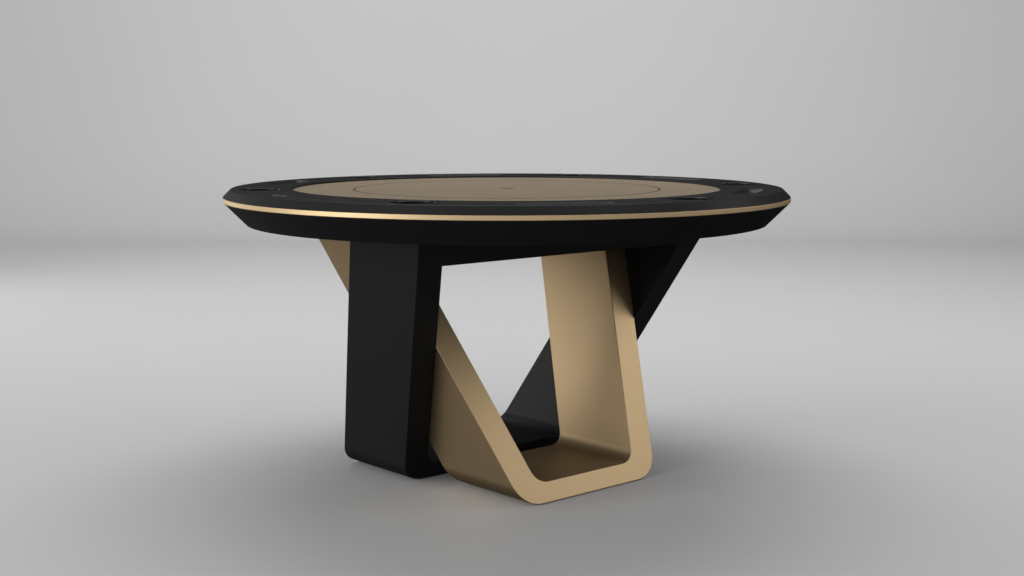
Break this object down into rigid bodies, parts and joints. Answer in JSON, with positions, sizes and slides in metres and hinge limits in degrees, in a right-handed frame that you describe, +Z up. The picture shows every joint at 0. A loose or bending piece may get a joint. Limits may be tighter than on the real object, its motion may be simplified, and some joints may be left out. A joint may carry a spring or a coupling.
{
  "type": "poker table",
  "caption": "Round poker table: black rail with drop-in cup liners and chip troughs, taupe cloth field and gilt edge band, on two crossed leaning trapezoid frames.",
  "frame": {"origin": "on the floor, under the centre of the round top", "axes": "+Z up; X along the feet of both base frames; the dark frame stands on the +Y side"},
  "size_m": [1.524, 1.524, 0.787],
  "materials": {
    "dark_lacquer": "satin black lacquer over board",
    "gilt_lacquer": "satin champagne-gold metallic lacquer over board",
    "gilt_trim": "satin champagne gold",
    "liner_plastic": "gloss black moulding",
    "field_cloth": "fine speed cloth, taupe",
    "foam": "closed-cell foam",
    "raw_board": "plain board and beech",
    "steel": "zinc plated",
    "glide_plastic": "matt nylon"
  },
  "bodies": {
    "table": {"base_bolts": "steel", "beam_inserts": "steel", "bolt_washers": "steel", "crossing_dowels": "raw_board", "dark_beam": "dark_lacquer", "dark_clamp_plate": "steel", "dark_corner_left": "dark_lacquer", "dark_corner_right": "dark_lacquer", "dark_floor_glides": "glide_plastic", "dark_foot": "dark_lacquer", "dark_frame_dowels": "raw_board", "dark_leg_left": "dark_lacquer", "dark_leg_right": "dark_lacquer", "deck_joist_back": "raw_board", "deck_joist_front": "raw_board", "deck_joist_middle": "raw_board", "field_screws": "steel", "gilt_beam": "gilt_lacquer", "gilt_clamp_plate": "steel", "gilt_corner_left": "gilt_lacquer", "gilt_corner_right": "gilt_lacquer", "gilt_floor_glides": "glide_plastic", "gilt_foot": "gilt_lacquer", "gilt_frame_dowels": "raw_board", "gilt_leg_left": "gilt_lacquer", "gilt_leg_right": "gilt_lacquer", "panel_screws": "steel", "playfield_board": "raw_board", "playfield_cloth": "field_cloth", "playfield_foam": "foam", "rail_blocks": "raw_board", "rail_cup_block_1": "dark_lacquer", "rail_cup_block_2": "dark_lacquer", "rail_cup_block_3": "dark_lacquer", "rail_cup_block_4": "dark_lacquer", "rail_cup_block_5": "dark_lacquer", "rail_cup_block_6": "dark_lacquer", "rail_screws": "steel", "rail_splines": "raw_board", "rail_trough_block_1": "dark_lacquer", "rail_trough_block_2": "dark_lacquer", "rail_trough_block_3": "dark_lacquer", "rail_trough_block_4": "dark_lacquer", "rail_trough_block_5": "dark_lacquer", "rail_trough_block_6": "dark_lacquer", "skirt_ring": "dark_lacquer", "support_ring": "raw_board", "trim_band": "gilt_trim", "underside_panel": "dark_lacquer"},
    "cup_1": {"cup_liner_1": "liner_plastic"},
    "cup_2": {"cup_liner_2": "liner_plastic"},
    "cup_3": {"cup_liner_3": "liner_plastic"},
    "cup_4": {"cup_liner_4": "liner_plastic"},
    "cup_5": {"cup_liner_5": "liner_plastic"},
    "cup_6": {"cup_liner_6": "liner_plastic"}
  },
  "joints": [
    {"name": "cup_lift_1", "type": "slide", "parent": "table", "child": "cup_1", "axis": [0, 0, 1], "range_m": [0, 0.08]},
    {"name": "cup_lift_2", "type": "slide", "parent": "table", "child": "cup_2", "axis": [0, 0, 1], "range_m": [0, 0.08]},
    {"name": "cup_lift_3", "type": "slide", "parent": "table", "child": "cup_3", "axis": [0, 0, 1], "range_m": [0, 0.08]},
    {"name": "cup_lift_4", "type": "slide", "parent": "table", "child": "cup_4", "axis": [0, 0, 1], "range_m": [0, 0.08]},
    {"name": "cup_lift_5", "type": "slide", "parent": "table", "child": "cup_5", "axis": [0, 0, 1], "range_m": [0, 0.08]},
    {"name": "cup_lift_6", "type": "slide", "parent": "table", "child": "cup_6", "axis": [0, 0, 1], "range_m": [0, 0.08]}
  ]
}
